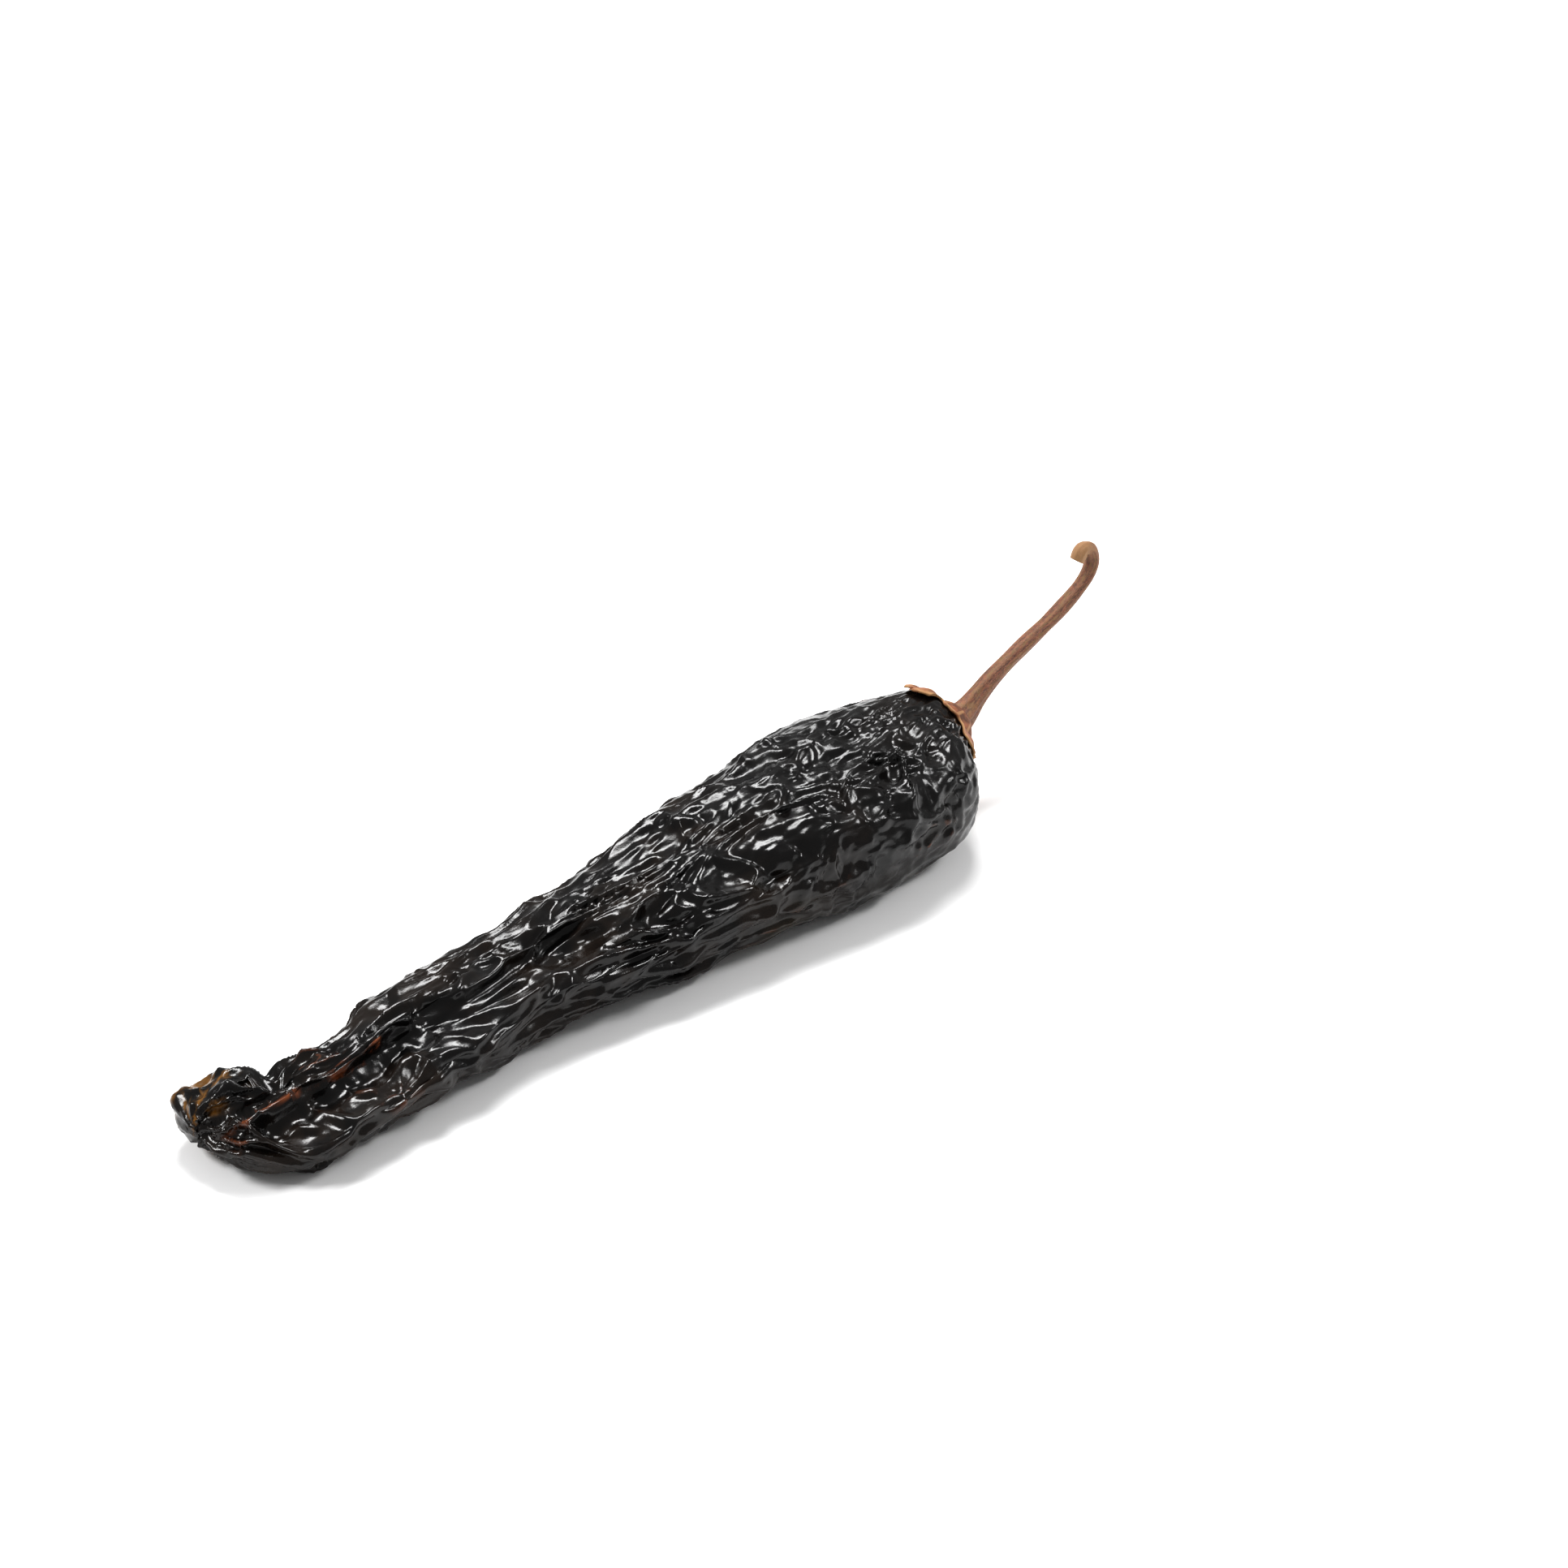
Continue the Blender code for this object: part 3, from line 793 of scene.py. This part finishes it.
def build_stem(settings):
    """A ridged stalk, wide at its foot, with a knob at its hooked end."""
    rows, sides = 220, 48
    route = curve_through(STEM_ROUTE, rows)
    rings, around, along = [], [], []
    for row in range(rows):
        share = row / (rows - 1)
        ahead = route[min(row + 1, rows - 1)] - route[max(row - 1, 0)]
        ahead = Vector((ahead[0], ahead[1])).normalized()
        foot = (settings.foot - settings.radius) * math.exp(-((share / 0.10) ** 1.2))
        knob = 0.25 * MM * math.exp(-(((share - 0.97) / 0.035) ** 2))
        thin = 0.34 * settings.radius * (0.5 - share)
        wander = 0.03 * settings.radius * math.sin(31 * share + 1)
        base = settings.radius + foot + knob + thin + wander
        ring = []
        for side in range(sides):
            angle = math.tau * side / sides
            twist = angle + 0.9 * share
            ridge = 0.5 + 0.5 * math.cos(settings.ridges * twist + 0.7 * math.sin(7 * share))
            small = math.cos(2 * settings.ridges * twist + 2.1 + 9 * share)
            depth = 0.12 - 0.07 * share
            radius = base * (1 - depth * (1 - ridge**1.5) + 0.02 * small)
            radius *= 1 + 0.05 * math.cos(2 * angle + 5 * share)
            sideways = radius * math.sin(angle)
            upward = radius * math.cos(angle)
            out = route[row][0] - upward * ahead.y
            up = route[row][1] + upward * ahead.x
            bow = 0.5 * MM * math.sin(math.pi * share)
            ring.append(Vector((-up, sideways + bow, out)))
            around.append(ridge)
            along.append(share)
        rings.append(ring)
    mesh = tube_mesh("stem_wood", rings)
    mesh.transform(Matrix.Translation(stem_foot()) @ end_turn())
    around += [0.0, 0.0]
    along += [0.0, 1.0]
    turns = [math.tau * (i % sides) / sides for i in range(rows * sides)] + [0.0, 0.0]
    store(mesh, "around", np.array(around))
    store(mesh, "along", np.array(along))
    store(mesh, "round_x", np.cos(turns))
    store(mesh, "round_y", np.sin(turns))
    return link_object("stem_wood", mesh)


# The calyx's blunt sepals: the middle of each in degrees, its reach and half its width
Sepal = namedtuple("Sepal", "at reach width")
SEPALS = [
    Sepal(172, 13.2 * MM, 20),
    Sepal(210, 10.0 * MM, 20),
    Sepal(252, 13.4 * MM, 20),
    Sepal(318, 10.8 * MM, 22),
    Sepal(28, 12.0 * MM, 24),
    Sepal(98, 11.4 * MM, 24),
]
LIFTED_SEPAL = 0

# How far from the stem's axis the collar starts and ends, and how high it climbs up the stem
COLLAR_SPREAD = (3.0 * MM, 7.5 * MM)
COLLAR_RISE = 0.8 * MM


def on_sepal(angle, sepal):
    """1 in the middle of the sepal and 0 beside it."""
    off = (math.degrees(angle) - sepal.at + 180) % 360 - 180
    return math.exp(-((off / sepal.width) ** 4))


def calyx_rim(angles, settings, rng):
    """The ragged outline: blunt sepals with torn edges."""
    reach = [
        max(settings.base + (s.reach - settings.base) * on_sepal(angle, s) for s in SEPALS)
        for angle in angles
    ]
    torn = np.zeros(len(angles))
    for knots, share in ((37, 0.5), (90, 0.5)):
        heights = rng.uniform(-1, 1, knots)
        at = np.linspace(0, math.tau, knots, endpoint=False)
        torn += share * np.interp(angles, at, heights, period=math.tau)
    return np.array(reach) + settings.torn * torn


def build_calyx(settings, skin):
    """A dry cap of sepals that lies on the pod's shoulder, ribbed and ragged at its rim."""
    rows, sides = 26, 200
    rng = np.random.default_rng(3)
    angles = np.linspace(0, math.tau, sides, endpoint=False)
    rim = calyx_rim(angles, settings, rng)
    frame_here = Matrix.Translation(stem_foot()) @ end_turn()
    back = frame_here.inverted()
    tree = BVHTree.FromPolygons(
        [back @ v.co for v in skin.data.vertices], [p.vertices for p in skin.data.polygons]
    )
    grid = np.zeros((rows + 1, sides, 3))
    for side, angle in enumerate(angles):
        point = tree.ray_cast(Vector((0, 0, 30 * MM)), Vector((0, 0, -1)))[0]
        beside = Vector((-math.sin(angle), math.cos(angle), 0))
        for row in range(rows + 1):
            grid[row, side] = point
            normal = tree.find_nearest(point)[1]
            stride = beside.cross(normal).normalized() * (rim[side] / rows)
            point = tree.find_nearest(point + stride)[0]
    for _ in range(4):
        inner = np.concatenate([grid[:1], grid[:-1]])
        outer = np.concatenate([grid[1:], grid[-1:]])
        grid = (2 * grid + np.roll(grid, 1, 1) + np.roll(grid, -1, 1) + inner + outer) / 6
    rim_marks, rib_marks = [], []
    for row in range(rows + 1):
        share = row / rows
        for side, angle in enumerate(angles):
            rib = (0.5 + 0.5 * math.cos(settings.ribs * angle)) ** 4
            rib *= float(ease(0.1, 0.4, share) * (1 - ease(0.7, 1, share)))
            curl = 0.7 * on_sepal(angle, SEPALS[LIFTED_SEPAL]) + 0.3 * max(0.0, math.sin(7 * angle)) ** 4
            lift = 0.25 + 0.4 * rib + curl * float(ease(0.7, 1.0, share))
            point = Vector(grid[row, side])
            ground, normal, _, _ = tree.find_nearest(point)
            above = max((point - ground).dot(normal), 0)
            point = ground + normal * (above + lift * MM)
            collar = 1 - float(ease(*COLLAR_SPREAD, math.hypot(point.x, point.y)))
            point.z += collar * max(COLLAR_RISE - point.z, 0)
            grid[row, side] = point
            rim_marks.append(share)
            rib_marks.append(rib)
    for _ in range(2):
        grid[1:-1] = (2 * grid + np.roll(grid, 1, 1) + np.roll(grid, -1, 1))[1:-1] / 4
    build = bmesh.new()
    made = [[build.verts.new(point) for point in ring] for ring in grid]
    for lower, upper in zip(made, made[1:]):
        for i in range(sides):
            j = (i + 1) % sides
            build.faces.new((lower[i], upper[i], upper[j], lower[j]))
    mesh = bpy.data.meshes.new("calyx_sepals")
    build.to_mesh(mesh)
    build.free()
    store(mesh, "rim", np.array(rim_marks))
    store(mesh, "rib", np.array(rib_marks))
    mesh.transform(frame_here)
    mesh.shade_smooth()
    calyx = link_object("calyx_sepals", mesh)
    weld = calyx.modifiers.new("Middle", "WELD")
    weld.merge_threshold = 0.01 * MM
    wall = calyx.modifiers.new("Thickness", "SOLIDIFY")
    wall.thickness = settings.thickness
    wall.offset = 1
    return calyx


# Stage

# The camera's target from the middle of the CAD box, along X and Y
AIM_OFFSET = (45.7 * MM, 25.2 * MM)
WORLD_STRENGTH = 0.37
FLOOR_SIZE = 3.0

# Each light aims at the pepper: its place and size in metres, and its power in watts
Softbox = namedtuple("Softbox", "name place size power")
SOFTBOXES = [
    Softbox("key", (0.34, 0.42, 1.08), (0.5, 0.32), 12.5),
    Softbox("left", (-0.75, 0.55, 0.9), (0.35, 0.3), 10),
    Softbox("right", (0.75, -0.45, 0.75), (0.3, 0.2), 5),
]


def aim(obj, place, target):
    obj.location = place
    obj.rotation_euler = (Vector(target) - Vector(place)).to_track_quat("-Z", "Y").to_euler()


def add_softbox(softbox):
    light = bpy.data.lights.new(softbox.name, "AREA")
    light.shape = "RECTANGLE"
    light.size, light.size_y = softbox.size
    light.energy = softbox.power
    box = bpy.data.objects.new(softbox.name, light)
    bpy.context.scene.collection.objects.link(box)
    aim(box, softbox.place, (0, 0, 0))


def add_camera(settings):
    lens = bpy.data.cameras.new("camera")
    lens.lens = settings.lens
    lens.clip_start = 0.01
    camera = bpy.data.objects.new("camera", lens)
    bpy.context.scene.collection.objects.link(camera)
    low, high = CAD_BOX
    target = Vector(
        ((low[0] + high[0]) / 2 + AIM_OFFSET[0], (low[1] + high[1]) / 2 + AIM_OFFSET[1], 0)
    )
    az, el = settings.azimuth, settings.elevation
    away = Vector((math.sin(az) * math.cos(el), -math.cos(az) * math.cos(el), math.sin(el)))
    aim(camera, target + settings.distance * away, target)
    bpy.context.scene.camera = camera


def add_floor(settings):
    mesh = bpy.data.meshes.new("floor")
    half = FLOOR_SIZE / 2
    mesh.from_pydata(
        [(-half, -half, 0), (half, -half, 0), (half, half, 0), (-half, half, 0)], [], [(0, 1, 2, 3)]
    )
    mesh.materials.append(floor_material(settings))
    floor = link_object("floor", mesh)


def add_world():
    world = bpy.data.worlds.new("studio")
    world.use_nodes = True
    back = world.node_tree.nodes["Background"]
    back.inputs["Color"].default_value = (1, 1, 1, 1)
    back.inputs["Strength"].default_value = WORLD_STRENGTH
    bpy.context.scene.world = world


def finish_piece(obj, node, material):
    obj.data.materials.clear()
    obj.data.materials.append(material)
    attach(obj, "root")
    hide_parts(node)


class PEPPER_OT_pod(bpy.types.Operator):
    """Grow and crumple the pod's skin"""

    bl_idname = "pepper.pod"
    bl_label = "Pod"

    def execute(self, context):
        settings = context.scene.pepper_skin
        skin = build_skin(settings)
        mark_skin(skin.data)
        skin.data.shade_smooth()
        finish_piece(skin, "pod", skin_material(settings))
        return {"FINISHED"}


class PEPPER_OT_calyx(bpy.types.Operator):
    """Drape the dry calyx over the pod's shoulder"""

    bl_idname = "pepper.calyx"
    bl_label = "Calyx"

    def execute(self, context):
        settings = context.scene.pepper_calyx
        calyx = build_calyx(settings, bpy.data.objects["pod_skin"])
        finish_piece(calyx, "calyx", calyx_material(settings))
        return {"FINISHED"}


class PEPPER_OT_stem(bpy.types.Operator):
    """Sweep the ridged stem along its route"""

    bl_idname = "pepper.stem"
    bl_label = "Stem"

    def execute(self, context):
        settings = context.scene.pepper_stem
        stem = build_stem(settings)
        finish_piece(stem, "stem", stem_material(settings))
        return {"FINISHED"}


class PEPPER_OT_stage(bpy.types.Operator):
    """Set the floor, the lights and the camera"""

    bl_idname = "pepper.stage"
    bl_label = "Stage"

    def execute(self, context):
        settings = context.scene.pepper_stage
        add_floor(settings)
        add_world()
        for softbox in SOFTBOXES:
            add_softbox(softbox)
        add_camera(settings)
        context.scene.view_settings.view_transform = "Standard"
        context.scene.view_settings.look = "Medium High Contrast"
        return {"FINISHED"}


class PEPPER_PT_sidebar(bpy.types.Panel):
    """Lists the pepper's pieces"""

    bl_label = "Dried chilli pepper"
    bl_idname = "PEPPER_PT_sidebar"
    bl_space_type = "VIEW_3D"
    bl_region_type = "UI"
    bl_category = "Pepper"

    def draw(self, context):
        for operator, group in (
            ("pepper.pod", "pepper_skin"),
            ("pepper.calyx", "pepper_calyx"),
            ("pepper.stem", "pepper_stem"),
            ("pepper.stage", "pepper_stage"),
        ):
            box = self.layout.box()
            box.operator(operator)
            settings = getattr(context.scene, group)
            for key in settings.__annotations__:
                box.prop(settings, key)


CLASSES = (
    SkinSettings,
    CalyxSettings,
    StemSettings,
    StageSettings,
    PEPPER_OT_pod,
    PEPPER_OT_calyx,
    PEPPER_OT_stem,
    PEPPER_OT_stage,
    PEPPER_PT_sidebar,
)


def register():
    for cls in CLASSES:
        bpy.utils.register_class(cls)
    bpy.types.Scene.pepper_skin = PointerProperty(type=SkinSettings)
    bpy.types.Scene.pepper_calyx = PointerProperty(type=CalyxSettings)
    bpy.types.Scene.pepper_stem = PointerProperty(type=StemSettings)
    bpy.types.Scene.pepper_stage = PointerProperty(type=StageSettings)


def unregister():
    for name in ("pepper_skin", "pepper_calyx", "pepper_stem", "pepper_stage"):
        delattr(bpy.types.Scene, name)
    for cls in reversed(CLASSES):
        bpy.utils.unregister_class(cls)


def main():
    register()
    bpy.ops.pepper.pod()
    bpy.ops.pepper.calyx()
    bpy.ops.pepper.stem()
    bpy.ops.pepper.stage()


if __name__ == "__main__":
    main()
